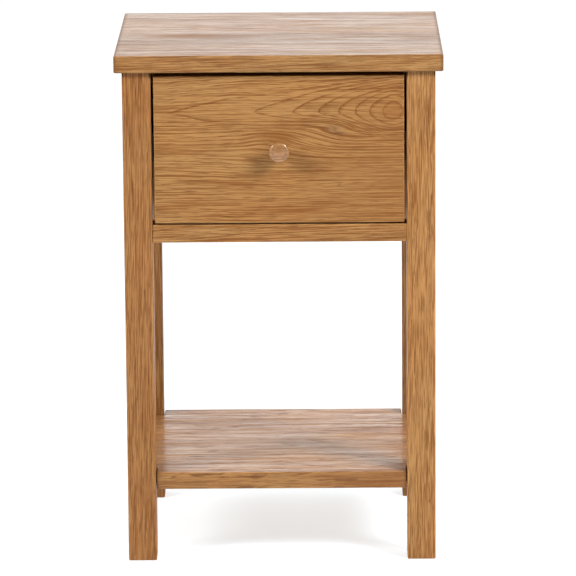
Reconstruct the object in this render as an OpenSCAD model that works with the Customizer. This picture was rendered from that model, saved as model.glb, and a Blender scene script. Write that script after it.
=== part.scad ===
// Small oak side table with one drawer on ball-bearing slides and a low shelf.
// Millimetres. +Z is up, the drawer front faces -Y, X = 0 is the middle, and
// the origin is on the floor in the middle of the whole object's plan.

/* [Table] */
// Width of the tabletop
table_w = 400; // [380:1:480]
// Depth of the tabletop
table_d = 350; // [345:1:400]
// Height of the tabletop's upper face above the floor
table_h = 635; // [560:1:700]
// Thickness of the tabletop
top_t = 21; // [18:0.5:28]
// How far the tabletop stands past the legs at each side
side_overhang = 9.5; // [4:0.5:20]
// How far the tabletop stands past the legs at the front
front_overhang = 8; // [4:0.5:12]
// How far the tabletop stands past the legs at the back
back_overhang = 2; // [0:0.5:6]
// Radius of the tabletop's rounded edges
top_round = 2; // [0.5:0.5:4]

/* [Legs] */
// Width and depth of a square leg
leg_t = 35; // [34:0.5:45]
// Radius of a leg's rounded edges
leg_round = 2; // [0.5:0.5:4]

/* [Carcase] */
// Gap between the tabletop and the drawer front
top_gap = 5.5; // [3:0.5:8]
// Height of the rail under the drawer
rail_h = 22; // [18:1:40]
// Thickness of the side panels and the back panel
panel_t = 18; // [12:0.5:18]
// Height of the side panels and the back panel
panel_h = 205; // [190:1:220]
// How far the panels lie behind the outer faces of the legs
panel_recess = 2; // [0.5:0.5:4]
// How far the drawer front and the rail lie behind the front faces of the legs
front_recess = 1.5; // [0.5:0.5:3]
// Height of the top rail and of the back cleat
cleat_h = 18; // [15:1:20]
// Depth of the top rail behind the drawer front
top_rail_d = 30; // [24:1:40]

/* [Shelf] */
// Height of the shelf's underside above the floor
shelf_z = 90.5; // [40:0.5:200]
// Thickness of the shelf
shelf_t = 21; // [18:0.5:25]
// How far the shelf's edges lie behind the outer faces of the legs
shelf_recess = 4; // [1:0.5:8]
// Gap between a leg and the notch of the shelf around it
notch_gap = 1; // [0.5:0.25:2]

/* [Drawer] */
// Height of the drawer front
front_h = 182; // [170:1:186]
// Thickness of the drawer front
front_t = 20; // [16:0.5:20]
// Gap between the drawer front and the leg at each side
side_gap = 3; // [1.5:0.5:4]
// Gap between the drawer front and the rail under it
bottom_gap = 2; // [1:0.5:4]
// Height of the drawer box
box_h = 150; // [120:1:155]
// Depth of the drawer box
box_d = 280; // [270:1:282]
// Thickness of the drawer box's boards
box_t = 12; // [10:0.5:14]
// Height of the drawer box above the drawer front's lower edge
box_lift = 8; // [6:0.5:12]
// Thickness of the drawer bottom
bottom_t = 5; // [4:0.5:8]
// Number of dovetail tails at each corner of the drawer box
tails = 4; // [3:1:6]

/* [Slides] */
// Length of a slide
slide_len = 250; // [220:5:250]
// Height of a slide
slide_h = 35; // [34:0.5:36]
// Thickness of a slide, from the cabinet to the drawer
slide_t = 12.7; // [12.7:0.1:13]
// Radius of a bearing ball
ball_r = 1.6; // [1.5:0.05:1.6]
// Number of balls in each row of a cage
row_balls = 8; // [4:1:8]

/* [Knob] */
// Diameter of the knob's head
knob_dia = 25; // [22:0.5:32]
// Distance that the knob stands out from the drawer front
knob_len = 24; // [22:0.5:28]

/* [Hidden] */

$fn = 48;
oak = [0.69, 0.50, 0.31];
beech = [0.87, 0.76, 0.58];
steel = [0.72, 0.73, 0.75];
brass_plated = [0.80, 0.70, 0.45];

// Main planes. Right-hand pieces are drawn, and the left-hand ones mirrored.
under_top = table_h - top_t;
leg_out = table_w / 2 - side_overhang;
leg_in = leg_out - leg_t;
plan_d = table_d + knob_len - front_recess - front_overhang;
legs_front = -plan_d / 2 + knob_len - front_recess;
legs_back = legs_front + table_d - front_overhang - back_overhang;
front_legs_back = legs_front + leg_t;
back_legs_front = legs_back - leg_t;

front_top = under_top - top_gap;
front_bottom = front_top - front_h;
rail_top = front_bottom - bottom_gap;
rail_bottom = rail_top - rail_h;
panel_bottom = under_top - panel_h;
panel_out = leg_out - panel_recess;
panel_in = panel_out - panel_t;
back_panel_back = legs_back - panel_recess;
back_panel_front = back_panel_back - panel_t;
cleat_bottom = under_top - cleat_h;
cleat_d = 18;
edge = 1;
board_edge = 1.5;

// How far a cut runs past the face it opens
past = 1;

// Drawer planes
face_y = legs_front + front_recess;
box_front = face_y + front_t;
box_back = box_front + box_d;
box_bottom = front_bottom + box_lift;
box_top = box_bottom + box_h;
box_half = leg_in - slide_t;
bottom_lift = 10;
bottom_z = box_bottom + bottom_lift;
groove = 6;
groove_play = 0.2;
bottom_play = 0.5;
knob_z = (front_top + front_bottom) / 2;

// Top rail behind the drawer front
top_rail_gap = 1.5;
top_rail_front = box_front + top_rail_gap;
top_rail_back = top_rail_front + top_rail_d;

// Joints made with dowels
dowel_r = 4;
dowel_len = 30;
small_dowel_r = 3;
hole_play = 0.05;
end_play = 1;
rail_dowel_inset = 9;
panel_dowel_inset = 30;
shelf_dowel_inset = leg_t * 0.6;
panel_dowels = 3;

// Screws: shank radius, head radius and head height
screw_r = 1.75;
pan_head_r = 3.4;
pan_head_h = 2;
flat_head_r = 3.5;
flat_head_h = 2.2;
recess_arm = 3.2;
recess_slot = 0.8;
recess_depth = 1.1;

// How deep a screw bites into the piece it holds, as a part of that piece's thickness
bite = 0.6;
front_bite = 0.7;

// Places of the screws as parts of the half width, the height or the batten's height
cleat_screw_x = [-0.7, 0, 0.7];
top_screw_x = [-0.8, 0.2, 0.8];
front_screw_x = 0.72;
front_screw_z = [0.25, 0.75];
batten_screw_rise = 0.3;
batten_screw_inset = 20;

// Slide section. u runs from the cabinet to the drawer, v up from the middle.
steel_t = 1.1;
lip = 1;
cage_t = 0.4;
race = ball_r + 0.08;
slide_mid_z = knob_z;
slide_setback = 2.5;
slide_front = box_front + slide_setback;
slide_back = slide_front + slide_len;
outer_race_v = slide_h / 2 - steel_t;
outer_ball_v = outer_race_v - race;
middle_out_v = outer_ball_v - race;
middle_in_v = middle_out_v - steel_t;
inner_ball_v = middle_in_v - race;
inner_v = inner_ball_v - race;
middle_u = 4.3;
inner_u = slide_t - 6;
outer_ball_u = 7.4;
inner_ball_u = inner_u + 2.75;
outer_lip_u = 9.4;
middle_lip_u = slide_t - 1.6;
outer_cage_u = 3.45;
inner_cage_u = middle_u + steel_t + 0.45;
cage_len = 100;
strip_past_lip = 0.8;
cage_front = slide_front + slide_len / 2 - cage_len / 2;
ball_pitch = 12;
bridge_len = 10;
slide_screw_first = 35;
slide_screw_pitch = 90;
slide_screw_len = 11;
slide_end_room = 60;
batten_h = slide_h;
batten_t = panel_in - leg_in;

// Drawer corner joints
tail_slope = 1.6;
tail_part = 0.62;

// Knob
knob_r = knob_dia / 2;
knob_rim = 2.5;
knob_neck_r = 6;
knob_foot_r = 7.5;
knob_head_t = 8;
knob_dome = 1.2;
knob_flare = 5;
knob_screw_r = 2;
knob_screw_in = 12;
neck_h = knob_len - knob_head_t;
neck_cut_r = 7.5;
neck_cut_h = neck_h / 2 - 1;

// The dome over the face is a sphere through the face's rim and its middle
dome_edge = knob_r - knob_rim;
dome_r = (dome_edge * dome_edge + knob_dome * knob_dome) / (2 * knob_dome);

// Repeats

module at_side(side) {
    if (side < 0) mirror([1, 0, 0]) children();
    else children();
}

module both_sides() {
    children();
    mirror([1, 0, 0]) children();
}

// Wood sections and boards between a low corner and a high corner

module rounded(w, h, r) {
    square([w - 2 * r, h], center = true);
    square([w, h - 2 * r], center = true);
    for (x = [-1, 1], y = [-1, 1]) translate([x * (w / 2 - r), y * (h / 2 - r)]) circle(r);
}

module block(lo, hi) {
    translate(lo) cube(hi - lo);
}

// Rounded along the edges that run in X
module bar_x(lo, hi, r) {
    size = hi - lo;
    translate((lo + hi) / 2) rotate([90, 0, 90])
        linear_extrude(size.x, center = true) rounded(size.y, size.z, r);
}

// Rounded along the edges that run in Y
module bar_y(lo, hi, r) {
    size = hi - lo;
    translate((lo + hi) / 2) rotate([90, 0, 0])
        linear_extrude(size.y, center = true) rounded(size.x, size.z, r);
}

// Rounded along the edges that run in Z
module bar_z(lo, hi, r) {
    size = hi - lo;
    translate((lo + hi) / 2)
        linear_extrude(size.z, center = true) rounded(size.x, size.y, r);
}

// Rounded along all its edges
module board(lo, hi, r) {
    intersection() {
        bar_x(lo, hi, r);
        bar_y(lo, hi, r);
        bar_z(lo, hi, r);
    }
}

// Pegs are the dowels, and with play they are the holes for them

module peg_x(pos, r, len, play) {
    whole = len + (play > 0 ? 2 * end_play : 0);
    translate(pos) rotate([0, 90, 0]) cylinder(h = whole, r = r + play, center = true);
}

module peg_y(pos, r, len, play) {
    whole = len + (play > 0 ? 2 * end_play : 0);
    translate(pos) rotate([90, 0, 0]) cylinder(h = whole, r = r + play, center = true);
}

function spread(lo, hi, count) = [for (i = [0:count - 1]) lo + (hi - lo) * i / (count - 1)];

module front_rail_pegs(play = 0) {
    z = (rail_top + rail_bottom) / 2;
    for (y = spread(face_y + rail_dowel_inset, front_legs_back - rail_dowel_inset, 2))
        peg_x([leg_in, y, z], dowel_r, dowel_len, play);
}

module top_rail_pegs(play = 0) {
    y = (top_rail_front + front_legs_back) / 2;
    peg_x([leg_in, y, under_top - cleat_h / 2], small_dowel_r, dowel_len, play);
}

module side_panel_pegs(play = 0) {
    for (y = [front_legs_back, back_legs_front])
        for (z = spread(panel_bottom + panel_dowel_inset, under_top - panel_dowel_inset, panel_dowels))
            peg_y([(panel_in + panel_out) / 2, y, z], dowel_r, dowel_len, play);
}

module back_panel_pegs(play = 0) {
    y = (back_panel_front + back_panel_back) / 2;
    for (z = spread(panel_bottom + panel_dowel_inset, under_top - panel_dowel_inset, panel_dowels))
        peg_x([leg_in, y, z], dowel_r, dowel_len, play);
}

module shelf_pegs(play = 0) {
    for (y = [legs_front + shelf_dowel_inset, legs_back - shelf_dowel_inset])
        peg_x([leg_in - notch_gap / 2, y, shelf_z + shelf_t / 2], dowel_r, dowel_len, play);
}

// Screws point along +Z with the underside of a pan head, or the flat top of a
// countersunk head, at the origin. With play they are the holes for them.

module pan_screw(len, r = screw_r, play = 0) {
    cylinder(h = len + (play > 0 ? end_play : 0), r = r + play);
    if (play == 0) translate([0, 0, -pan_head_h]) difference() {
        cylinder(h = pan_head_h, r = pan_head_r);
        cross_recess();
    }
}

module flat_screw(len, play = 0) {
    difference() {
        union() {
            cylinder(h = len + (play > 0 ? end_play : 0), r = screw_r + play);
            cylinder(h = flat_head_h, r1 = flat_head_r + play, r2 = screw_r + play);
        }
        if (play == 0) cross_recess();
    }
}

module cross_recess() {
    for (turn = [0, 90]) rotate(turn)
        cube([recess_arm, recess_slot, 2 * recess_depth], center = true);
}

// Frame pieces

module table_top() {
    color(oak) difference() {
        board([-table_w / 2, legs_front - front_overhang, under_top],
              [table_w / 2, legs_back + back_overhang, table_h], top_round);
        top_screw_set(hole_play);
    }
}

// A leg stands square under the tabletop and has a rounded foot
module leg_blank(front) {
    lo = [leg_in, front, 0];
    hi = [leg_out, front + leg_t, under_top];
    intersection() {
        board(lo, hi + [0, 0, 2 * leg_round], leg_round);
        block(lo, hi);
    }
}

module leg_front() {
    color(oak) difference() {
        leg_blank(legs_front);
        front_rail_pegs(hole_play);
        top_rail_pegs(hole_play);
        side_panel_pegs(hole_play);
        shelf_pegs(hole_play);
    }
}

module leg_back() {
    color(oak) difference() {
        leg_blank(back_legs_front);
        back_panel_pegs(hole_play);
        side_panel_pegs(hole_play);
        shelf_pegs(hole_play);
    }
}

module side_panel() {
    color(oak) difference() {
        bar_y([panel_in, front_legs_back, panel_bottom], [panel_out, back_legs_front, under_top], edge);
        side_panel_pegs(hole_play);
        batten_screw_set(hole_play);
    }
}

module back_panel() {
    color(oak) difference() {
        bar_x([-leg_in, back_panel_front, panel_bottom], [leg_in, back_panel_back, under_top], edge);
        both_sides() back_panel_pegs(hole_play);
        cleat_screw_set(hole_play);
    }
}

module front_rail() {
    color(oak) difference() {
        bar_x([-leg_in, face_y, rail_bottom], [leg_in, front_legs_back, rail_top], edge);
        both_sides() front_rail_pegs(hole_play);
    }
}

module top_rail() {
    color(oak) difference() {
        bar_x([-leg_in, top_rail_front, cleat_bottom], [leg_in, top_rail_back, under_top], edge);
        both_sides() top_rail_pegs(hole_play);
        top_screw_set(hole_play);
    }
}

module back_cleat() {
    color(oak) difference() {
        bar_x([-leg_in, back_panel_front - cleat_d, cleat_bottom],
              [leg_in, back_panel_front, under_top], edge);
        top_screw_set(hole_play);
        cleat_screw_set(hole_play);
    }
}

module shelf() {
    lo = [-leg_out + shelf_recess, legs_front + shelf_recess, shelf_z];
    hi = [leg_out - shelf_recess, legs_back - shelf_recess, shelf_z + shelf_t];
    notch_x = leg_in - notch_gap;
    notch_front = front_legs_back + notch_gap;
    notch_back = back_legs_front - notch_gap;
    color(oak) difference() {
        board(lo, hi, board_edge);
        both_sides() {
            block([notch_x, lo.y - past, lo.z - past], [hi.x + past, notch_front, hi.z + past]);
            block([notch_x, notch_back, lo.z - past], [hi.x + past, hi.y + past, hi.z + past]);
            shelf_pegs(hole_play);
        }
    }
}

module front_rail_dowels() { color(beech) both_sides() front_rail_pegs(); }
module top_rail_dowels() { color(beech) both_sides() top_rail_pegs(); }
module side_panel_dowels() { color(beech) both_sides() side_panel_pegs(); }
module back_panel_dowels() { color(beech) both_sides() back_panel_pegs(); }
module shelf_dowels() { color(beech) both_sides() shelf_pegs(); }

// A batten fills the space between the side panel and the slide
module slide_batten() {
    z = slide_mid_z - batten_h / 2;
    color(oak) difference() {
        bar_y([leg_in, front_legs_back, z], [panel_in, back_legs_front, z + batten_h], edge);
        batten_screw_set(hole_play);
        cabinet_slide_screw_set(hole_play);
    }
}

// Fasteners of the frame

module batten_screw_set(play = 0) {
    len = batten_t + panel_t * bite;
    z = slide_mid_z + batten_h * batten_screw_rise;
    for (y = spread(front_legs_back + batten_screw_inset, back_legs_front - batten_screw_inset, 3))
        translate([leg_in, y, z]) rotate([0, 90, 0]) flat_screw(len, play);
}

module cleat_screw_set(play = 0) {
    len = cleat_d + panel_t * bite;
    for (x = cleat_screw_x)
        translate([x * leg_in, back_panel_front - cleat_d, under_top - cleat_h / 2])
            rotate([-90, 0, 0]) flat_screw(len, play);
}

module top_screw_set(play = 0) {
    len = cleat_h + top_t * bite;
    rows = [(top_rail_front + top_rail_back) / 2, back_panel_front - cleat_d / 2];
    for (y = rows, x = top_screw_x)
        translate([x * leg_in, y, cleat_bottom]) pan_screw(len, screw_r, play);
}

module batten_screws() { color(brass_plated) both_sides() batten_screw_set(); }
module cleat_screws() { color(brass_plated) cleat_screw_set(); }
module top_screws() { color(brass_plated) top_screw_set(); }

// Slides

// Extrudes a section in u and v, and its mirror image below the middle,
// along the slide between two places
module slide_section(front, back) {
    translate([leg_in, back, slide_mid_z]) rotate([90, 0, 0])
        linear_extrude(back - front) mirror([1, 0]) {
            children();
            mirror([0, 1]) children();
        }
}

module slide_place(u, y, v) {
    translate([leg_in - u, y, slide_mid_z + v]) children();
}

function slide_screw_places() = [for (i = [0:2])
    slide_front + slide_screw_first + i * min(slide_screw_pitch, (slide_len - slide_end_room) / 2)];

module slide_outer() {
    color(steel) difference() {
        slide_section(slide_front, slide_back) {
            square([steel_t, slide_h / 2]);
            translate([0, outer_race_v]) square([outer_lip_u + steel_t, steel_t]);
            translate([outer_lip_u, outer_race_v - lip]) square([steel_t, lip + steel_t]);
        }
        cabinet_slide_screw_set(hole_play);
    }
}

module slide_middle() {
    color(steel) slide_section(slide_front, slide_back) {
        translate([middle_u, 0]) square([steel_t, middle_out_v + lip]);
        translate([middle_u, middle_in_v]) square([middle_lip_u + steel_t - middle_u, steel_t]);
        translate([middle_lip_u, middle_in_v - lip]) square([steel_t, lip + steel_t]);
    }
}

module slide_inner() {
    color(steel) difference() {
        slide_section(slide_front, slide_back) {
            translate([slide_t - steel_t, 0]) square([steel_t, inner_v]);
            translate([inner_u, inner_v - steel_t]) square([slide_t - inner_u, steel_t]);
            translate([inner_u, inner_v - steel_t]) square([steel_t, lip + steel_t]);
        }
        drawer_slide_screw_set(hole_play);
    }
}

// Places of the balls of one cage, as distances along the slide
function ball_places() = [for (i = [0:row_balls - 1])
    cage_front + cage_len / 2 + (i - (row_balls - 1) / 2) * ball_pitch];

// Two ball strips, joined by a bridge at each end
module cage(u, ball_u, ball_v, lip_u) {
    back = cage_front + cage_len;
    strip_end_u = lip_u + strip_past_lip;
    difference() {
        union() {
            slide_section(cage_front, back) translate([u, ball_v - cage_t / 2])
                square([strip_end_u - u, cage_t]);
            for (y = [cage_front, back - bridge_len])
                slide_section(y, y + bridge_len) translate([u, 0])
                    square([cage_t, ball_v + cage_t / 2]);
        }
        for (y = ball_places()) slide_place(ball_u, y, 0)
            cylinder(h = slide_h, r = ball_r + hole_play, center = true);
    }
}

module balls(ball_u, ball_v) {
    for (y = ball_places(), v = [-ball_v, ball_v]) slide_place(ball_u, y, v) sphere(ball_r);
}

module outer_cage() { color(steel) cage(outer_cage_u, outer_ball_u, outer_ball_v, outer_lip_u); }
module inner_cage() { color(steel) cage(inner_cage_u, inner_ball_u, inner_ball_v, middle_lip_u); }
module outer_balls() { color(steel) balls(outer_ball_u, outer_ball_v); }
module inner_balls() { color(steel) balls(inner_ball_u, inner_ball_v); }

module cabinet_slide_screw_set(play = 0) {
    for (y = slide_screw_places())
        translate([leg_in - steel_t, y, slide_mid_z]) rotate([0, 90, 0])
            pan_screw(slide_screw_len, screw_r, play);
}

module drawer_slide_screw_set(play = 0) {
    for (y = slide_screw_places())
        translate([box_half + steel_t, y, slide_mid_z]) rotate([0, -90, 0])
            pan_screw(slide_screw_len, screw_r, play);
}

module cabinet_slide_screws() { color(brass_plated) both_sides() cabinet_slide_screw_set(); }
module drawer_slide_screws() { color(brass_plated) both_sides() drawer_slide_screw_set(); }

// Drawer

module drawer_front() {
    color(oak) difference() {
        board([-leg_in + side_gap, face_y, front_bottom], [leg_in - side_gap, box_front, front_top],
              board_edge);
        front_screw_set(hole_play);
        knob_screw_set(hole_play);
    }
}

// The dovetail tails at the drawer side's front end, as seen from the side:
// y from the end of the board, z from its lower edge. They widen to the end.
module tail_shapes() {
    pitch = box_h / tails;
    wide = pitch * tail_part / 2 + tail_slope / 2;
    narrow = wide - tail_slope;
    for (i = [0:tails - 1]) translate([0, (i + 0.5) * pitch])
        polygon([[0, -wide], [box_t, -narrow], [box_t, narrow], [0, wide]]);
}

// Both rows of tails of the right-hand drawer side, as solids
module side_tails() {
    place = [box_half - box_t, 0, box_bottom];
    translate(place + [0, box_front, 0]) rotate([90, 0, 90]) linear_extrude(box_t) tail_shapes();
    translate(place + [0, box_back, 0]) rotate([90, 0, 90])
        linear_extrude(box_t) mirror([1, 0]) tail_shapes();
}

// The grooves around the drawer bottom
module bottom_groove() {
    x = box_half - box_t + groove;
    block([-x, box_front + box_t - groove, bottom_z - groove_play / 2],
          [x, box_back - box_t + groove, bottom_z + bottom_t + groove_play / 2]);
}

module drawer_side() {
    color(beech) difference() {
        union() {
            block([box_half - box_t, box_front + box_t, box_bottom],
                  [box_half, box_back - box_t, box_top]);
            side_tails();
        }
        bottom_groove();
        drawer_slide_screw_set(hole_play);
    }
}

module drawer_end(front) {
    difference() {
        block([-box_half, front, box_bottom], [box_half, front + box_t, box_top]);
        both_sides() side_tails();
        bottom_groove();
        children();
    }
}

module drawer_box_front() {
    color(beech) drawer_end(box_front) {
        front_screw_set(hole_play);
        knob_screw_set(hole_play);
    }
}

module drawer_box_back() { color(beech) drawer_end(box_back - box_t); }

module drawer_bottom() {
    gap = bottom_play;
    x = box_half - box_t + groove - gap;
    color(beech) block([-x, box_front + box_t - groove + gap, bottom_z],
        [x, box_back - box_t + groove - gap, bottom_z + bottom_t]);
}

module front_screw_set(play = 0) {
    len = box_t + front_t * front_bite;
    for (x = [-front_screw_x, front_screw_x], z = front_screw_z)
        translate([x * box_half, box_front + box_t, box_bottom + z * box_h])
            rotate([90, 0, 0]) pan_screw(len, screw_r, play);
}

module front_screws() { color(brass_plated) front_screw_set(); }

// The knob points along -Y. Its section is in radius and height above the drawer front.
module knob_section() {
    face_h = knob_len - knob_dome;
    difference() {
        union() {
            square([knob_foot_r, neck_h]);
            translate([0, neck_h - knob_flare]) square([dome_edge, face_h - neck_h + knob_flare]);
            translate([0, neck_h + knob_rim]) square([knob_r, face_h - neck_h - 2 * knob_rim]);
            for (h = [neck_h + knob_rim, face_h - knob_rim])
                translate([dome_edge, h]) circle(knob_rim);
            intersection() {
                translate([0, knob_len - dome_r]) circle(dome_r, $fn = 96);
                translate([0, face_h - past]) square([dome_edge, knob_dome + 2 * past]);
            }
        }
        translate([knob_neck_r + neck_cut_r, neck_cut_h]) circle(neck_cut_r);
    }
}

module knob() {
    color(oak) difference() {
        translate([0, face_y, knob_z]) rotate([90, 0, 0]) rotate_extrude($fn = 96)
            intersection() {
                knob_section();
                square([knob_dia, knob_len]);
            }
        knob_screw_set(hole_play);
    }
}

module knob_screw_set(play = 0) {
    translate([0, box_front + box_t, knob_z]) rotate([90, 0, 0])
        pan_screw(box_t + front_t + knob_screw_in, knob_screw_r, play);
}

module knob_screw() { color(steel) knob_screw_set(); }

table_top();
at_side(-1) leg_front();  // leg_front_left
at_side(1) leg_front();  // leg_front_right
at_side(-1) leg_back();  // leg_back_left
at_side(1) leg_back();  // leg_back_right
at_side(-1) side_panel();  // side_panel_left
at_side(1) side_panel();  // side_panel_right
back_panel();
front_rail();
top_rail();
back_cleat();
shelf();
front_rail_dowels();
top_rail_dowels();
side_panel_dowels();
back_panel_dowels();
shelf_dowels();
at_side(-1) slide_batten();  // slide_batten_left
at_side(1) slide_batten();  // slide_batten_right
batten_screws();
cleat_screws();
top_screws();
at_side(-1) slide_outer();  // slide_outer_left
at_side(1) slide_outer();  // slide_outer_right
at_side(-1) slide_middle();  // slide_middle_left
at_side(1) slide_middle();  // slide_middle_right
at_side(-1) slide_inner();  // slide_inner_left
at_side(1) slide_inner();  // slide_inner_right
at_side(-1) outer_cage();  // outer_cage_left
at_side(1) outer_cage();  // outer_cage_right
at_side(-1) inner_cage();  // inner_cage_left
at_side(1) inner_cage();  // inner_cage_right
at_side(-1) outer_balls();  // outer_balls_left
at_side(1) outer_balls();  // outer_balls_right
at_side(-1) inner_balls();  // inner_balls_left
at_side(1) inner_balls();  // inner_balls_right
cabinet_slide_screws();
drawer_slide_screws();
drawer_front();
drawer_box_front();
at_side(-1) drawer_side();  // drawer_side_left
at_side(1) drawer_side();  // drawer_side_right
drawer_box_back();
drawer_bottom();
front_screws();
knob();
knob_screw();
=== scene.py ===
"""Small oak side table with one drawer, on a white studio floor."""

import math

import bmesh
import bpy
from mathutils import Matrix, Vector

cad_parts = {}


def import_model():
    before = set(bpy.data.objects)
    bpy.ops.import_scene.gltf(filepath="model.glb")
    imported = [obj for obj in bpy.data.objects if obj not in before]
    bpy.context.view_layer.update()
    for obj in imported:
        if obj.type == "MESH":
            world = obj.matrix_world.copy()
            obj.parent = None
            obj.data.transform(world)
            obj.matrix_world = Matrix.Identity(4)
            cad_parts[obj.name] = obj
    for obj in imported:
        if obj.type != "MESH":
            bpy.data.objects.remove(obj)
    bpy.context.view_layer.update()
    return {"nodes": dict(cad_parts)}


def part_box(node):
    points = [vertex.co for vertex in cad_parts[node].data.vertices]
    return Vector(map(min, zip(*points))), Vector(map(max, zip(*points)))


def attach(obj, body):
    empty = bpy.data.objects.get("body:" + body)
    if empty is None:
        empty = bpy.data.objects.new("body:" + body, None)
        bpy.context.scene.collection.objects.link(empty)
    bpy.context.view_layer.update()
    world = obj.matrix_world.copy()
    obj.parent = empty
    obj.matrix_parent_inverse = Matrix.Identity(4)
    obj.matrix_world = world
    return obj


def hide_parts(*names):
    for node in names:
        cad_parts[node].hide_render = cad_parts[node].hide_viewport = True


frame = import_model()

MM = 0.001


# ---------------------------------------------------------------- node helpers

class Term:
    """A node's output that can stand in an ordinary sum."""

    def __init__(self, graph, socket):
        self.graph = graph
        self.socket = socket

    def __add__(self, other):
        return self.graph.math("ADD", self, other)

    def __sub__(self, other):
        return self.graph.math("SUBTRACT", self, other)

    def __rsub__(self, other):
        return self.graph.math("SUBTRACT", other, self)

    def __mul__(self, other):
        return self.graph.math("MULTIPLY", self, other)

    def __truediv__(self, other):
        return self.graph.math("DIVIDE", self, other)

    def __pow__(self, other):
        return self.graph.math("POWER", self, other)

    __radd__ = __add__
    __rmul__ = __mul__


class Graph:
    """Short ways to add nodes to a node tree. Values may be numbers, tuples, sockets or terms."""

    def __init__(self, tree):
        self.tree = tree
        tree.nodes.clear()

    def node(self, kind, inputs=None, **settings):
        made = self.tree.nodes.new(kind)
        for key, value in settings.items():
            setattr(made, key, value)
        for key, value in (inputs or {}).items():
            self.feed(made.inputs[key], value)
        return made

    def feed(self, socket, value):
        if isinstance(value, Term):
            value = value.socket
        if isinstance(value, bpy.types.NodeSocket):
            self.tree.links.new(value, socket)
        else:
            socket.default_value = value

    def math(self, operation, *values, clamp=False):
        made = self.node("ShaderNodeMath", operation=operation, use_clamp=clamp)
        for socket, value in zip(made.inputs, values):
            self.feed(socket, value)
        return Term(self, made.outputs[0])

    def vector(self, operation, *values):
        made = self.node("ShaderNodeVectorMath", operation=operation)
        for socket, value in zip(made.inputs, values):
            self.feed(socket, value)
        return made.outputs["Vector"]

    def combine(self, x, y, z):
        return self.node("ShaderNodeCombineXYZ", {"X": x, "Y": y, "Z": z}).outputs[0]

    def separate(self, vector):
        parts = self.node("ShaderNodeSeparateXYZ", {"Vector": vector}).outputs
        return [Term(self, part) for part in parts[:3]]

    def smooth(self, value, low, high, to_low=0.0, to_high=1.0):
        made = self.node("ShaderNodeMapRange", {"Value": value, "From Min": low, "From Max": high,
                                                "To Min": to_low, "To Max": to_high},
                         interpolation_type="SMOOTHSTEP")
        return Term(self, made.outputs[0])

    def noise_node(self, vector, scale, detail, roughness, seed):
        scaled = self.vector("MULTIPLY", vector, scale)
        inputs = {"Vector": scaled, "W": seed, "Scale": 1.0, "Detail": detail, "Roughness": roughness}
        return self.node("ShaderNodeTexNoise", inputs, noise_dimensions="4D")

    def noise(self, vector, scale=(1, 1, 1), detail=2.0, roughness=0.5, seed=0.0):
        return Term(self, self.noise_node(vector, scale, detail, roughness, seed).outputs["Fac"])

    def noise_shift(self, vector, scale, size, seed):
        """A vector that wanders by size on each side of zero."""
        noise = self.noise_node(vector, scale, 2.0, 0.5, seed).outputs["Color"]
        return self.vector("MULTIPLY", self.vector("SUBTRACT", noise, (0.5, 0.5, 0.5)), size)

    def mix(self, share, first, second):
        made = self.node("ShaderNodeMix", data_type="RGBA")
        self.feed(made.inputs[0], share)
        self.feed(made.inputs[6], first)
        self.feed(made.inputs[7], second)
        return made.outputs[2]

    def scale_colour(self, colour, factor):
        return self.vector("MULTIPLY", colour, self.combine(factor, factor, factor))


def new_material(name):
    material = bpy.data.materials.new(name)
    material.use_nodes = True
    return material, Graph(material.node_tree)


def new_group(name, inputs, outputs):
    """A node group whose sockets are given as names and kinds, with its graph and its inputs."""
    tree = bpy.data.node_groups.new(name, "ShaderNodeTree")
    for in_out, sockets in (("INPUT", inputs), ("OUTPUT", outputs)):
        for socket, kind in sockets.items():
            tree.interface.new_socket(socket, in_out=in_out, socket_type="NodeSocket" + kind)
    g = Graph(tree)
    return tree, g, g.node("NodeGroupInput").outputs


# ---------------------------------------------------------------- wood

# How often each part of the texture repeats in a metre, along the grain and across it
FIBRE = (11, 1300, 1300)
GRAIN = (9, 820, 820)
BAND = (7, 130, 130)
BLOTCH = (4, 40, 40)
DASH = (50, 1250, 1250)
FLECK = (30, 150, 150)
WARM = (9, 30, 30)


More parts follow.
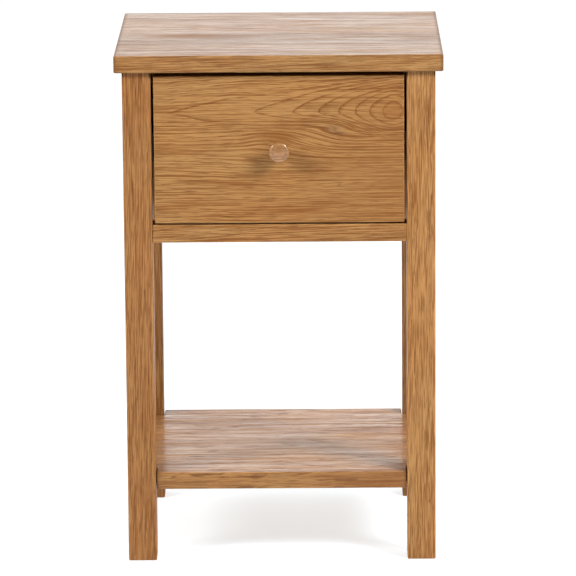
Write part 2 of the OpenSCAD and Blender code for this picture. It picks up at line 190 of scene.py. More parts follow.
def wood_group():
    """Wood in the round, from a point's place along and across the grain in metres, and from Turns:
    how many growth rings it lies from the middle of the log. Every ring begins with a dark line
    of wide pores, as wide as Line in rings, and fades into dense wood with fine streaks."""
    tree, g, given = new_group(
        "solid_wood",
        {"Place": "Vector", "Turns": "Float", "Line": "Float", "Seed": "Float", "Light": "Color",
         "Dark": "Color", "Pore": "Color", "Ring strength": "Float", "Streak strength": "Float",
         "Band strength": "Float", "Pore strength": "Float", "Fleck strength": "Float"},
        {"Color": "Color", "Roughness": "Float", "Height": "Float", "Gloss": "Float"})
    seed, place, turns = given["Seed"], given["Place"], Term(g, given["Turns"])
    ring_strength, streak_strength, band_strength, pore_strength, fleck_strength = (
        Term(g, given[part + " strength"]) for part in ("Ring", "Streak", "Band", "Pore", "Fleck"))

    # The dark line at a ring's start, broken along its length
    along = g.separate(place)[0]
    since = g.math("FRACT", turns)
    widths = since / Term(g, given["Line"])
    ring = g.smooth(widths, 0.0, 0.35) * g.math("EXPONENT", widths * -0.9) * 1.5 + (1 - since) * 0.15
    broken = g.noise(g.combine(along * 14, turns * 1.3, 0.0), (1, 1, 1), 2.0, 0.6, seed)
    early = ring * g.smooth(broken, 0.3, 0.62, 0.5, 1.15)

    # Patterns that run along the grain, and growth, which follows the rings
    fibre = g.noise(place, FIBRE, 1.0, 0.5, seed)
    grain = g.noise(place, GRAIN, 1.0, 0.6, seed)
    band = g.noise(place, BAND, 3.0, 0.6, seed)
    growth = g.noise(g.combine(along * 9, turns * 3.1, 0.0), (1, 1, 1), 2.0, 0.55, seed)
    blotch = g.noise(place, BLOTCH, 2.0, 0.5, seed)

    # Short dark pores, crowded where the ring is dark, and larger flecks
    dashes = g.smooth(g.noise(place, DASH, 1.0, 0.5, seed), 0.51, 0.59)
    pores = dashes * (early * 0.5 + 0.5) * pore_strength
    flecks = g.smooth(g.noise(place, FLECK, 2.0, 0.6, Term(g, seed) + 5.0), 0.56, 0.66)
    pores = g.math("MAXIMUM", pores, flecks * fleck_strength)

    # How much of the dark colour shows, and where the wood is warmer
    streaks = g.smooth(fibre, 0.3, 0.7, -0.8, 0.8) + g.smooth(grain, 0.34, 0.66, -0.15, 0.15)
    streaks = streaks + g.smooth(growth, 0.3, 0.7, -0.06, 0.06)
    bands = g.smooth(band, 0.3, 0.7, -0.1, 0.1) * band_strength
    share = (early - 0.3) * ring_strength + streaks * streak_strength + bands
    share = g.math("ADD", share + g.smooth(blotch, 0.3, 0.7, -0.1, 0.1), 0.28, clamp=True)
    colour = g.mix(share, given["Light"], given["Dark"])
    warm = g.noise(place, WARM, 2.0, 0.5, Term(g, seed) + 3.0)
    colour = g.mix(g.smooth(warm, 0.3, 0.7), colour, g.vector("MULTIPLY", colour, (1.03, 0.96, 0.90)))
    colour = g.mix(pores, colour, given["Pore"])

    # Lacquer shines unevenly, and sinks into the pores
    gloss = g.smooth(g.noise(place, BAND, 4.0, 0.65, Term(g, seed) + 7.0), 0.36, 0.64)
    gloss = gloss * (1 - pores * 0.7) * g.smooth(band, 0.3, 0.7, 1.4, 0.6)
    rough = g.smooth(grain, 0.3, 0.7, 0.36, 0.5) + pores * 0.2
    height = fibre * 0.35 - pores * 0.8 - early * 0.25
    g.node("NodeGroupOutput", {"Color": colour, "Roughness": rough, "Height": height, "Gloss": gloss})
    return tree


WOOD = wood_group()

# Which of a point's x, y, z is along the grain, and which two are across it
ALONG = {"x": (0, 1, 2), "y": (1, 0, 2), "z": (2, 0, 1)}


def object_point(g):
    return g.separate(g.node("ShaderNodeTexCoord").outputs["Object"])


# How far apart in the log, in metres, the strips of a glued board may lie
STAVE_SHIFT = (3.0, 0.16, 0.05)

# How wide the dark line of a round ring is, as a part of the ring
RING_LINE = 0.3


def log_place(g, axis, pith, tilt, staves):
    """A point's place about the pith line, in metres. staves is (width, first edge) for a board
    glued from strips, each cut from another part of the log."""
    point = object_point(g)
    along, across, deep = (point[i] for i in ALONG[axis])
    strip = None
    if staves:
        width, edge = staves
        number = g.math("FLOOR", (across - edge) / width)
        lot = g.node("ShaderNodeTexWhiteNoise", {"W": number}, noise_dimensions="1D")
        either_way = g.vector("SUBTRACT", lot.outputs["Color"], (0.5, 0.5, 0.5))
        dx, dy, dz = g.separate(g.vector("MULTIPLY", either_way, STAVE_SHIFT))
        along, across, deep = along + dx, across + dy, deep + dz
        strip = Term(g, lot.outputs["Value"])
    across = across - along * tilt[0] - pith[0]
    deep = deep - along * tilt[1] - pith[1]
    return g.combine(along, across, deep), strip


def round_rings(g, place, ring, taper, seed):
    """Rings round the pith line, and how strong each is. The log tapers and isn't straight, and its
    years differ in width."""
    warp, wobble = 30 * MM, 1.4 * MM
    slow = g.noise_shift(place, (2.2, 9, 9), (0.0, warp, warp), seed)
    ripple = g.noise_shift(place, (8, 60, 60), (0.0, wobble, wobble), seed)
    along, across, deep = g.separate(g.vector("ADD", place, g.vector("ADD", slow, ripple)))
    turns = (g.math("SQRT", across * across + deep * deep) - along * taper) / ring
    turns = turns + g.noise(g.combine(turns, 0.0, 0.0), (0.45, 1, 1), 1.0, 0.5, seed) * 1.6
    return turns, year_strength(g, turns, seed)


def year_strength(g, turns, seed):
    """How bold each year's ring is, which differs from year to year."""
    year = g.noise(g.combine(g.math("FLOOR", turns), 0.0, 0.0), (7.3, 1, 1), 0.0, 0.5, seed)
    return g.smooth(year, 0.3, 0.7, 0.4, 1.4)


# The woods, with linear colours, and how strong their rings and pores are. Birch also does for the
# beech dowels.
OAK = dict(light=(0.296, 0.154, 0.051, 1), dark=(0.160, 0.059, 0.011, 1), pore=(0.10, 0.034, 0.006, 1),
           ring_strength=0.25, pore_strength=0.7)
BIRCH = dict(light=(0.56, 0.37, 0.19, 1), dark=(0.42, 0.25, 0.11, 1), pore=(0.33, 0.19, 0.08, 1),
             ring_strength=0.35, pore_strength=0.3)


def wood_material(name, axis, pith, seed, species=OAK, tilt=(0.01, 0.02), ring=3.2 * MM, taper=0.0,
                  staves=None, tone=(1.0, 1.0, 1.0), figure=None, stains_and_painted_light=(), satin=0.0, coat=(0.0, 0.2),
                  ior=1.28, coat_roughness=0.2, polish=0.0, streaks=1.0, bands=1.0, rings=1.0, flecks=0.05):
    """A wood for one piece. pith is where the middle of the log runs, and tone tints it. figure gives
    a piece rings of its own, and satin makes it duller. The patch list gives (centre, size, amount,
    tint) of soft dull patches: most are stains, and a few are painted shade and painted light. coat is
    how much lacquer the upper face has, at least and at most, and polish is what all faces have.
    streaks, bands, rings and flecks are how strong those are."""
    material, g = new_material(name)
    place, strip = log_place(g, axis, pith, tilt, staves)
    if figure:
        place, turns, line, ring_strength = figure(g, seed)
    else:
        turns, strength = round_rings(g, place, ring, taper, seed)
        line, ring_strength = RING_LINE, strength * (species["ring_strength"] * rings)
    wood = g.node("ShaderNodeGroup", {
        "Place": place, "Turns": turns, "Line": line, "Seed": seed, "Light": species["light"],
        "Dark": species["dark"], "Pore": species["pore"], "Ring strength": ring_strength,
        "Streak strength": streaks, "Band strength": bands, "Pore strength": species["pore_strength"],
        "Fleck strength": flecks}, node_tree=WOOD)
    colour = wood.outputs["Color"]
    if strip:
        colour = g.scale_colour(colour, g.smooth(strip, 0.0, 1.0, 0.86, 1.12))
    outside_patches = 1.0
    # Each patch tints the wood and dulls its lacquer: most are stains, a few are painted shade and painted
    # light
    for centre, size, amount, tint in stains_and_painted_light:
        spot = patch(g, centre, size) * amount
        colour = g.mix(spot, colour, tint)
        outside_patches = (1 - spot) * outside_patches
    colour = g.vector("MULTIPLY", colour, tone)

    # Rounded arrises are paler and smoother: partly wear, and partly a painted highlight where the arris
    # catches the light
    worn_and_lit = Term(g, g.node("ShaderNodeAttribute", attribute_name="wear_and_highlight").outputs["Fac"])
    worn_and_lit = worn_and_lit * g.smooth(g.noise(place, (60, 90, 90), 2.0, 0.6, seed), 0.3, 0.6, 0.25, 0.9)
    colour = g.mix(worn_and_lit, colour, g.vector("MULTIPLY", colour, (1.35, 1.42, 1.5)))
    rough = Term(g, wood.outputs["Roughness"]) + satin - worn_and_lit * 0.08
    normal = g.node("ShaderNodeBump", {"Strength": 0.25, "Distance": 0.4 * MM,
                                       "Height": wood.outputs["Height"]})
    up = g.separate(g.node("ShaderNodeNewGeometry").outputs["True Normal"])[2]
    least, most = coat
    lacquer = Term(g, wood.outputs["Gloss"]) * (most - least) + least
    lacquer = lacquer * g.smooth(up, 0.4, 0.9) * outside_patches + polish
    shader = g.node("ShaderNodeBsdfPrincipled", {"Base Color": colour, "Roughness": rough,
                                                 "Coat Weight": lacquer, "Normal": normal.outputs[0]})
    shader.inputs["IOR"].default_value = ior
    shader.inputs["Coat Roughness"].default_value = coat_roughness
    g.node("ShaderNodeOutputMaterial", {"Surface": shader.outputs[0]})
    return material


def hill(g, *offsets):
    """1 in the middle, and less as any offset nears or passes 1."""
    far = sum(offset * offset for offset in offsets)
    return g.math("EXPONENT", far * -1.0)


def patch(g, centre, size):
    """A soft round patch about a place. A size of None doesn't count."""
    point = object_point(g)
    return hill(g, *[(part - c) / s for part, c, s in zip(point, centre, size) if s])


def front_place(across, down):
    """A place on the drawer front, from fractions of its width and height from the upper left."""
    lo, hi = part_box("drawer_front")
    return (lo.x + across * (hi.x - lo.x), lo.y, hi.z - down * (hi.z - lo.z))


def front_rings(seed):
    """The drawer front's rings at a point. Arcs point left and crowd towards an eye at the upper
    right. Under them close level lines come in from the left, flow round a small knot and dip.
    Lengths are in millimetres, from the left edge and above the middle line of the arcs."""
    tree, g, given = new_group(
        "front_rings", {"Point": "Vector"},
        {"Turns": "Float", "Bend": "Float", "Inside": "Float", "Level": "Float"})
    point = given["Point"]
    x, y, z = g.separate(point)
    lo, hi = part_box("drawer_front")
    width = (hi.x - lo.x) / MM
    axis = front_place(0, 0.247)[2]
    right = (x - lo.x) / MM
    wave = (g.noise(point, (11, 11, 30), 2.0, 0.5, seed) - 0.5) * g.smooth(right, 100, 240, 8, 1.2)
    ripple = (g.noise(point, (70, 70, 170), 2.0, 0.6, seed) - 0.5) * 0.9
    rise = (z - axis) / MM + wave

    # The knot pushes the lines apart, and a low hump left of it lifts them
    knot = front_place(0.715, 0.365)
    knot_right, knot_rise, knot_push = (knot[0] - lo.x) / MM, (knot[2] - axis) / MM, 3.5
    side = g.math("TANH", (rise - knot_rise) / 3)
    rise = rise - side * hill(g, (right - knot_right) / 24, (rise - knot_rise) / 13) * knot_push
    hump_right, hump_rise, hump_height = 137, -33, 4.5
    rise = rise - hill(g, (right - hump_right) / 28, (rise - hump_rise) / 14) * hump_height
    up = g.math("MAXIMUM", rise + ripple, 0.0)
    down = g.math("MAXIMUM", (rise + ripple) * -1.0, 0.0)

    # How many arcs have begun, going right along the middle line to the eye and past it
    eye, first_arc, eye_round = 0.955, 0.05, 0.0003
    past_eye = right / width - eye
    along = eye - first_arc - g.math("SQRT", past_eye * past_eye + eye_round)
    arcs = along * 1.8 + along * along * along * 8.6

    # The first arc's upper limb rises to the right, and its lower limb runs level and then dips
    limb_start, limb_length, limb_rise, level_line = 16, 288, 45, 12.4
    upper = g.math("MAXIMUM", (right - limb_start) / limb_length, 0.001) ** 0.75 * limb_rise
    lower = g.smooth(right, 195, 290, level_line, 34) * g.smooth(right, 12, 80, 0.05, 1)
    roundness = g.smooth(along, 0.35, 0.8, 1.5, 2.2)
    inside_up = 1 - g.math("MINIMUM", up / upper, 1.0) ** roundness
    inside_down = 1 - g.math("MINIMUM", down / lower, 1.0) ** roundness
    arc = arcs * inside_up * inside_down

    # Lines further down dip sooner, and the lowest ones hardly dip
    deepest_dip, dip_middle, dip_half = 15, 258 - down * 1.8, 60
    dips = g.smooth(down, 35, 88, deepest_dip, 0) * g.smooth(right - dip_middle, -dip_half, dip_half)
    level = down - dips

    # Rings lie this far apart over the arcs, under them, and into the board. Counting them from
    # some years in keeps the count above 0.
    over_gap, under_gap, deep_gap, years = 5, 4.5, 3, 40
    over = g.math("MAXIMUM", up - upper, 0.0) / over_gap
    under = g.math("MAXIMUM", level - level_line, 0.0) / under_gap
    turns = arc - over - under + (y - lo.y) / (deep_gap * MM) + years

    # Fibres fan out to the right with the arcs, and dip under them with the level lines
    fan = upper * g.smooth(rise, -4, 4, 0, 0.008) + 1
    bend = rise / fan + dips * g.smooth(rise, -55, 35, 1, 0)
    g.node("NodeGroupOutput", {"Turns": turns, "Bend": bend * MM, "Inside": g.smooth(arc, 0.0, 0.01),
                               "Level": level})
    return tree


def front_figure(g, seed):
    """The drawer front's rings, with lines about as wide where they crowd as where they lie apart."""
    tree = front_rings(seed)
    x, y, z = object_point(g)
    step = 0.3 * MM
    here, beside, above = (
        g.node("ShaderNodeGroup", {"Point": point}, node_tree=tree).outputs
        for point in (g.combine(x, y, z), g.combine(x + step, y, z), g.combine(x, y, z + step)))
    turns = Term(g, here["Turns"])
    across, upward = (Term(g, near["Turns"]) - turns for near in (beside, above))
    slope = g.math("SQRT", across * across + upward * upward) / (step / MM)
    inside, level = Term(g, here["Inside"]), Term(g, here["Level"])
    line = g.math("MINIMUM", slope * (inside * 0.4 + 1.0), 0.4)
    bold = g.smooth(level, 6, 18) * g.smooth(level, 34, 55, 1, 0)
    strength = inside * 1.7 + (1 - inside) * (bold * 1.9 + 0.25) * year_strength(g, turns, seed)
    return g.combine(x, here["Bend"], y), turns, line, strength


RED_BROWN = (0.20, 0.068, 0.014, 1)
# The small knot and the dark line under it, the darker right end, which is painted shade against the
# stronger light from the right softbox, the arcs' eye, and smaller spots
FRONT_STAINS_AND_SHADE = (
    (front_place(0.72, 0.36), (9 * MM, None, 4 * MM), 0.65, (0.145, 0.070, 0.030, 1)),
    (front_place(0.735, 0.39), (10 * MM, None, 1.5 * MM), 0.8, (0.07, 0.026, 0.010, 1)),
    # Painted shade: the right end is darkened to even out the right softbox's stronger light
    (front_place(0.97, 0.30), (70 * MM, None, 60 * MM), 0.3, (0.17, 0.066, 0.016, 1)),
    (front_place(0.90, 0.85), (90 * MM, None, 60 * MM), 0.25, RED_BROWN),
    (front_place(0.50, 0.41), (26 * MM, None, 6 * MM), 0.5, RED_BROWN),
    (front_place(0.945, 0.245), (16 * MM, None, 9 * MM), 0.45, RED_BROWN),
    (front_place(0.14, 0.87), (30 * MM, None, 8 * MM), 0.3, RED_BROWN),
    (front_place(0.55, 0.92), (55 * MM, None, 8 * MM), 0.3, RED_BROWN),
    (front_place(0.74, 0.745), (1.6 * MM, None, 1.6 * MM), 0.7, (0.10, 0.04, 0.015, 1)),
)


# ---------------------------------------------------------------- metal

def steel_material(name, colour, roughness, streaks, tint=0.05):
    """Rolled or plated steel, with fine streaks whose scale is given for x, y and z."""
    material, g = new_material(name)
    point = g.node("ShaderNodeTexCoord").outputs["Object"]
    streak = g.noise(point, streaks, 3.0, 0.6)
    cloud = g.noise(point, (40, 40, 40), 2.0, 0.5)
    shade = g.scale_colour(colour, g.smooth(streak, 0.3, 0.7, 1 - tint, 1 + tint)
                           + g.smooth(cloud, 0.3, 0.7, -tint, tint))
    rough = g.smooth(streak, 0.3, 0.7, roughness - 0.06, roughness + 0.06)
    rough = rough + g.smooth(cloud, 0.3, 0.7, -0.04, 0.06)
    normal = g.node("ShaderNodeBump", {"Strength": 0.15, "Distance": 0.1 * MM, "Height": streak})
    shader = g.node("ShaderNodeBsdfPrincipled", {"Base Color": shade, "Roughness": rough,
                                                 "Normal": normal.outputs[0]})
    shader.inputs["Metallic"].default_value = 1.0
    g.node("ShaderNodeOutputMaterial", {"Surface": shader.outputs[0]})
    return material


# ---------------------------------------------------------------- pieces

def finish_mesh(name, bm, material, node, body):
    """Turns a bmesh into a smooth-shaded piece that stands for a CAD node."""
    for face in bm.faces:
        face.smooth = True
    bmesh.ops.recalc_face_normals(bm, faces=bm.faces)
    mesh = bpy.data.meshes.new(name)
    bm.to_mesh(mesh)
    bm.free()
    piece = bpy.data.objects.new(name, mesh)
    bpy.context.scene.collection.objects.link(piece)
    mesh.materials.append(material)
    normals = piece.modifiers.new("flat faces stay flat", "WEIGHTED_NORMAL")
    normals.weight = 100
    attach(piece, body)
    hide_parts(node)


def round_edges(bm, edges, radius, worn_and_lit=1.0):
    """Rounds edges, and marks the new surface, but not its borders, as the part that is painted paler:
    partly wear, partly a painted highlight.
    """
    rounded = bmesh.ops.bevel(bm, geom=edges, offset=radius, offset_type="OFFSET", segments=5,
                              profile=0.5, affect="EDGES", clamp_overlap=True)
    wear_and_highlight = bm.verts.layers.float.new("wear_and_highlight")
    arris = set(rounded["faces"])
    for vert in bm.verts:
        vert[wear_and_highlight] = worn_and_lit * all(face in arris for face in vert.link_faces)


def box_mesh(lo, hi):
    bm = bmesh.new()
    bmesh.ops.create_cube(bm, size=1.0)
    for vert in bm.verts:
        vert.co = Vector(((lo[i] + hi[i]) / 2 + vert.co[i] * (hi[i] - lo[i])) for i in range(3))
    return bm


def board(node, material, radius, body="frame", square_top=False, worn_and_lit=1.0):
    """A board with rounded edges. square_top leaves the edges round its top face sharp."""
    lo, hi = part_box(node)
    bm = box_mesh(lo, hi)
    near = 1e-6
    edges = [edge for edge in bm.edges
             if not (square_top and all(vert.co.z > hi.z - near for vert in edge.verts))]
    round_edges(bm, edges, radius, worn_and_lit)
    finish_mesh("oak_" + node, bm, material, node, body)


def table_top():
    lo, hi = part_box("table_top")
    end_grain = (0.13, 0.052, 0.013, 1)
    stains_and_painted_light = (
        # A dark streak on the left
        ((-0.115, -0.010, 0.0), (0.045, 0.016, None), 0.9, (0.20, 0.08, 0.018, 1)),
        ((-0.06, -0.020, 0.0), (0.05, 0.010, None), 0.5, (0.20, 0.085, 0.025, 1)),
        # The end grain drinks more oil
        ((lo.x + 1 * MM, 0.0, 0.0), (2.5 * MM, None, None), 0.75, end_grain),
        ((hi.x - 1 * MM, 0.0, 0.0), (2.5 * MM, None, None), 0.75, end_grain),
    )
    material = wood_material("oak_top", "x", (0.06, 0.30), 1.3, ring=3.4 * MM, staves=(0.0875, -0.17),
                             taper=0.012, coat=(0.2, 0.92), coat_roughness=0.1, ior=1.3, bands=4.5,
                             flecks=0.35, tone=(0.93, 0.95, 1.0), stains_and_painted_light=stains_and_painted_light)
    board("table_top", material, 2.0 * MM, worn_and_lit=0.0)


LEGS = {
    "leg_front_left": dict(pith=(-0.205, -0.10), seed=4.1, tone=(0.95, 0.86, 0.84), tilt=(0.02, 0.012)),
    "leg_front_right": dict(pith=(0.176, -0.10), seed=5.7, tone=(1.10, 1.09, 1.13), tilt=(0.012, 0.02),
                            taper=0.02),
    "leg_back_left": dict(pith=(-0.12, 0.21), seed=6.2, tone=(1.07, 1.02, 1.02), tilt=(-0.01, 0.012)),
    "leg_back_right": dict(pith=(0.10, 0.30), seed=7.9, tone=(0.86, 0.83, 0.88), tilt=(0.01, 0.01)),
}


def legs():
    for node, look in LEGS.items():
        material = wood_material("oak_" + node, "z", ring=2.9 * MM, streaks=0.9, bands=0.3, rings=0.5,
                                 **look)
        board(node, material, 2.0 * MM, square_top=True)


def front_rail():
    material = wood_material("oak_rail", "x", (0.06, 0.50), 9.4, ring=2.8 * MM, tone=(1.0, 1.0, 1.03))
    board("front_rail", material, 1.0 * MM)


# A panel's node, its material's name, the way its grain runs, its pith and its seed
PANELS = (
    ("side_panel_left", "oak_side_left", "y", (-0.30, 0.5), 11.3),
    ("side_panel_right", "oak_side_right", "y", (0.31, 0.5), 12.8),
    ("back_panel", "oak_back", "x", (0.35, 0.47), 13.1),
)


def panels():
    for node, name, axis, pith, seed in PANELS:
        material = wood_material(name, axis, pith, seed, ring=3.3 * MM, bands=0.4)
        board(node, material, 1.0 * MM)


def drawer_front():
    material = wood_material("oak_front", "x", (0, 0), 15.2, figure=front_figure, stains_and_painted_light=FRONT_STAINS_AND_SHADE,
                             streaks=1.2)
    board("drawer_front", material, 1.5 * MM, "drawer")


def shelf():
    """A board with a notch round each leg."""
    lo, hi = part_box("shelf")
    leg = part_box("leg_front_right")
    gap = 1.0 * MM
    notch_x = leg[0].x - gap
    notch_front = leg[1].y + gap
    notch_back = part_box("leg_back_right")[0].y - gap
    right = [(notch_x, lo.y), (notch_x, notch_front), (hi.x, notch_front),
             (hi.x, notch_back), (notch_x, notch_back), (notch_x, hi.y)]
    outline = right + [(-x, y) for x, y in reversed(right)]
    bm = bmesh.new()
    bottom = bm.faces.new([bm.verts.new((x, y, lo.z)) for x, y in outline])
    raised = bmesh.ops.extrude_face_region(bm, geom=[bottom])
    for item in raised["geom"]:
        if isinstance(item, bmesh.types.BMVert):
            item.co.z = hi.z
    round_edges(bm, list(bm.edges), 1.5 * MM)
    stains_and_painted_light = (
        # A pale middle, which is painted light over the shade the drawer box casts there, and dark places
        # at the front right
        ((0.03, -0.03, 0.0), (0.13, 0.09, None), 0.3, (0.46, 0.26, 0.11, 1)),
        ((0.155, -0.125, 0.0), (0.03, 0.02, None), 0.7, (0.17, 0.07, 0.02, 1)),
        ((0.13, lo.y, 0.0), (0.07, 0.01, None), 0.5, (0.16, 0.06, 0.014, 1)),
    )
    # The raised tone partly lifts the whole shelf as painted light, against the shade it lies in under the
    # table top
    material = wood_material("oak_shelf", "x", (0.05, -0.12), 17.6, ring=3.4 * MM, staves=(0.083, -0.155),
                             taper=0.01, coat=(0.1, 1.05), coat_roughness=0.15, ior=1.35, bands=7.0,
                             flecks=0.8, tone=(1.1, 1.05, 1.0), stains_and_painted_light=stains_and_painted_light)
    finish_mesh("oak_shelf", bm, material, "shelf", "frame")


def arc_points(radius, right, height, start, end, steps):
    """Points on an arc whose centre lies at right and height."""
    for i in range(steps + 1):
        turn = start + (end - start) * i / steps
        yield right + radius * math.cos(turn), height + radius * math.sin(turn)


def knob():
    """A turned knob: a foot, a waisted neck, and a head with a rounded rim and a low dome."""
    lo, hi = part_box("knob")
    centre_x, centre_z = (lo.x + hi.x) / 2, (lo.z + hi.z) / 2
    face_y, length, head_r = hi.y, hi.y - lo.y, (hi.x - lo.x) / 2
    rim, neck_r, foot_r, neck_h, dome = 2.5 * MM, 6 * MM, 7.5 * MM, 16 * MM, 1.2 * MM
    cut_r, cut_h, cut_from, cut_to = 7.5 * MM, neck_h / 2 - 1 * MM, 2.6 * MM, 13.4 * MM
    foot_round, turn_steps, neck_steps, dome_steps = 0.6 * MM, 10, 24, 12
    quarter = math.pi / 2

    # Radius and height above the drawer front, from the foot's middle to the dome's
    outline = [(0.0, 0.0), (foot_r - foot_round, 0.0)]
    outline += arc_points(foot_round, foot_r - foot_round, foot_round, -quarter, 0, turn_steps)
    for i in range(neck_steps + 1):
        h = cut_from + (cut_to - cut_from) * i / neck_steps
        outline.append((neck_r + cut_r - math.sqrt(cut_r ** 2 - (h - cut_h) ** 2), h))
    flat_r, face_h = head_r - rim, length - dome
    outline += arc_points(rim, flat_r, neck_h + rim, -quarter, 0, turn_steps)
    outline += arc_points(rim, flat_r, face_h - rim, 0, quarter, turn_steps)
    dome_r = (flat_r ** 2 + dome ** 2) / (2 * dome)
    for i in range(1, dome_steps + 1):
        r = flat_r * (1 - i / dome_steps)
        outline.append((r, length - dome_r + math.sqrt(dome_r ** 2 - r ** 2)))
    bm = bmesh.new()
    verts = [bm.verts.new((centre_x + r, face_y - h, centre_z)) for r, h in outline]
    for first, second in zip(verts, verts[1:]):
        bm.edges.new((first, second))
    bmesh.ops.spin(bm, geom=list(bm.verts) + list(bm.edges), cent=(centre_x, face_y, centre_z),
                   axis=(0, 1, 0), angle=2 * math.pi, steps=96, use_merge=True)
    bmesh.ops.remove_doubles(bm, verts=bm.verts, dist=1e-6)
    # The rim is marked at half strength and painted paler: partly wear, partly a painted highlight
    wear_and_highlight = bm.verts.layers.float.new("wear_and_highlight")
    for vert in bm.verts:
        r = math.hypot(vert.co.x - centre_x, vert.co.z - centre_z)
        vert[wear_and_highlight] = 0.5 if r > flat_r + 0.3 * MM else 0.0
    material = wood_material("oak_knob", "x", (-0.09, 0.60), 19.9, ring=2.6 * MM, ior=1.5,
                             coat_roughness=0.14, polish=0.65, tone=(0.92, 0.85, 0.70))
    finish_mesh("oak_knob", bm, material, "knob", "drawer")


table_top()
legs()
front_rail()
panels()
drawer_front()
shelf()
knob()

# ---------------------------------------------------------------- CAD nodes that stay

birch_x = wood_material("birch_x", "x", (0.3, 0.3), 21.0, BIRCH)
birch_y = wood_material("birch_y", "y", (0.3, 0.3), 22.0, BIRCH)
ply = wood_material("birch_ply", "x", (0.2, 0.1), 23.0, BIRCH, ring=9 * MM)
beech = wood_material("beech_dowel", "x", (0.3, 0.3), 24.0, BIRCH)
raw_oak_x = wood_material("raw_oak_x", "x", (0.3, 0.3), 25.0, satin=0.2)
raw_oak_y = wood_material("raw_oak_y", "y", (0.3, 0.3), 26.0, satin=0.2)
rolled = steel_material("black_steel", (0.055, 0.06, 0.065), 0.36, (900, 12, 900), 0.15)
pressed = steel_material("pressed_steel", (0.22, 0.23, 0.24), 0.42, (300, 300, 300))
polished = steel_material("ball_steel", (0.74, 0.75, 0.77), 0.12, (60, 60, 60), 0.02)
plated = steel_material("zinc_plated", (0.66, 0.63, 0.55), 0.32, (700, 700, 700))

# The first of these words that a kept node's name holds gives its material
KEPT = (
    ("dowels", beech), ("screw", plated), ("balls", polished), ("cage", pressed),
    ("drawer_side", birch_y), ("drawer_box", birch_x), ("drawer_bottom", ply),
    ("top_rail", raw_oak_x), ("back_cleat", raw_oak_x), ("slide_batten", raw_oak_y), ("slide", rolled),
)
# The kept boards, whose edges are broken by a small bevel
SOFT_BOARDS = ("drawer_side", "drawer_box", "top_rail", "back_cleat", "slide_batten")


def kept_material(node):
    """A kept node's material. The last one is for nodes that a piece replaces, which aren't seen."""
    return next((material for word, material in KEPT if word in node), raw_oak_x)


def soften(cad, width):
    """Breaks a kept part's sharp edges."""
    bevel = cad.modifiers.new("broken edges", "BEVEL")
    bevel.width = width
    bevel.segments = 2
    bevel.limit_method = "ANGLE"
    bevel.angle_limit = math.radians(40)
    normals = cad.modifiers.new("flat faces stay flat", "WEIGHTED_NORMAL")
    normals.weight = 100


for node, cad in frame["nodes"].items():
    cad.data.materials.clear()
    cad.data.materials.append(kept_material(node))
    if node.startswith(SOFT_BOARDS):
        soften(cad, 0.5 * MM)

# ---------------------------------------------------------------- studio

FRONT_LIGHT = 0.05
BACK_LIGHT = 1.15
FLOOR_GLOW = 0.68
FLOOR_COLOUR = (0.42, 0.45, 0.47)
FLOOR_HALF = 30.0


def floor():
    """A matt floor. It is grey but glows, so that it looks white and shadows on it stay pale."""
    material, g = new_material("studio_floor")
    point = g.node("ShaderNodeTexCoord").outputs["Object"]
    cloud = g.smooth(g.noise(point, (3, 3, 3), 2.0), 0.2, 0.8, 0.98, 1.02)
    shader = g.node("ShaderNodeBsdfPrincipled", {"Base Color": g.scale_colour(FLOOR_COLOUR, cloud)})
    shader.inputs["Roughness"].default_value = 0.9
    shader.inputs["Specular IOR Level"].default_value = 0.1
    shader.inputs["Emission Color"].default_value = (0.97, 0.99, 1, 1)
    shader.inputs["Emission Strength"].default_value = FLOOR_GLOW
    g.node("ShaderNodeOutputMaterial", {"Surface": shader.outputs[0]})
    corners = ((-1, -1), (1, -1), (1, 1), (-1, 1))
    bm = bmesh.new()
    bm.faces.new([bm.verts.new((x * FLOOR_HALF, y * FLOOR_HALF, 0)) for x, y in corners])
    mesh = bpy.data.meshes.new("floor")
    bm.to_mesh(mesh)
    bm.free()
    mesh.materials.append(material)
    ground = bpy.data.objects.new("floor", mesh)
    bpy.context.scene.collection.objects.link(ground)


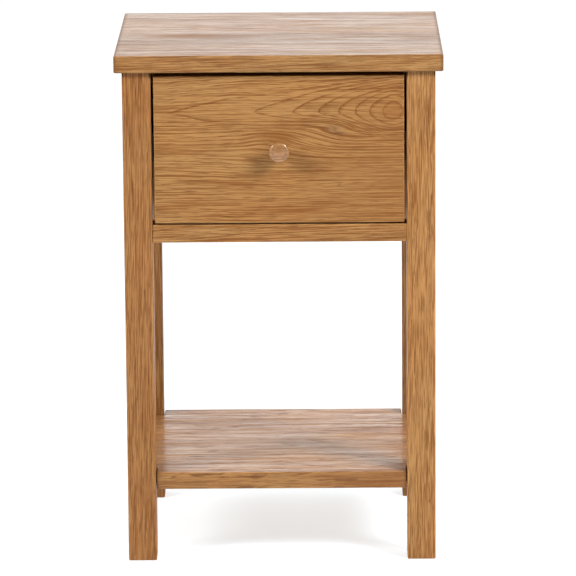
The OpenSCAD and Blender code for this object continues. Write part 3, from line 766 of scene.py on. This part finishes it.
def world():
    """White all round for the camera. The light that reaches the table is white from behind it
    and dim from in front."""
    made = bpy.data.worlds.new("studio")
    bpy.context.scene.world = made
    made.use_nodes = True
    g = Graph(made.node_tree)
    y = g.separate(g.node("ShaderNodeTexCoord").outputs["Generated"])[1]
    light = g.smooth(y, -0.35, 0.25, FRONT_LIGHT, BACK_LIGHT)
    seen = Term(g, g.node("ShaderNodeLightPath").outputs["Is Camera Ray"])
    sky = g.node("ShaderNodeBackground", {"Color": (1, 1, 1, 1), "Strength": seen + (1 - seen) * light})
    g.node("ShaderNodeOutputWorld", {"Surface": sky.outputs[0]})


def softbox(name, place, target, size, power):
    """A square area light that the camera doesn't see."""
    light = bpy.data.lights.new(name, "AREA")
    light.shape = "SQUARE"
    light.size = size
    light.energy = power
    lamp = bpy.data.objects.new(name, light)
    bpy.context.scene.collection.objects.link(lamp)
    lamp.location = place
    lamp.rotation_mode = "QUATERNION"
    lamp.rotation_quaternion = (Vector(target) - Vector(place)).to_track_quat("-Z", "Y")
    lamp.visible_camera = False


def camera():
    """A long lens a little above the table, turned and rolled by less than half a degree."""
    place, focal = (0.04443, -5.50251, 1.49345), 278.73
    yaw, pitch, roll = 0.00652, 0.21167, -0.00767
    data = bpy.data.cameras.new("camera")
    data.lens = focal
    data.sensor_width = 36
    data.clip_end = 200
    eye = bpy.data.objects.new("camera", data)
    bpy.context.scene.collection.objects.link(eye)
    tip = math.pi / 2 - pitch
    turn = Matrix.Rotation(yaw, 4, "Z") @ Matrix.Rotation(tip, 4, "X") @ Matrix.Rotation(roll, 4, "Z")
    eye.matrix_world = Matrix.Translation(place) @ turn
    bpy.context.scene.camera = eye


floor()
world()
AIM = (0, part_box("knob")[0].y, 0.40)
softbox("softbox_left", (-2.75, -1.84, 2.19), AIM, 1.1, 118)
softbox("softbox_right", (2.28, -2.14, 2.53), AIM, 1.1, 172)
softbox("softbox_top", (0, 0.3, 2.6), (0, 0, 0.3), 1.6, 10)
camera()
bpy.context.scene.view_settings.view_transform = "Standard"
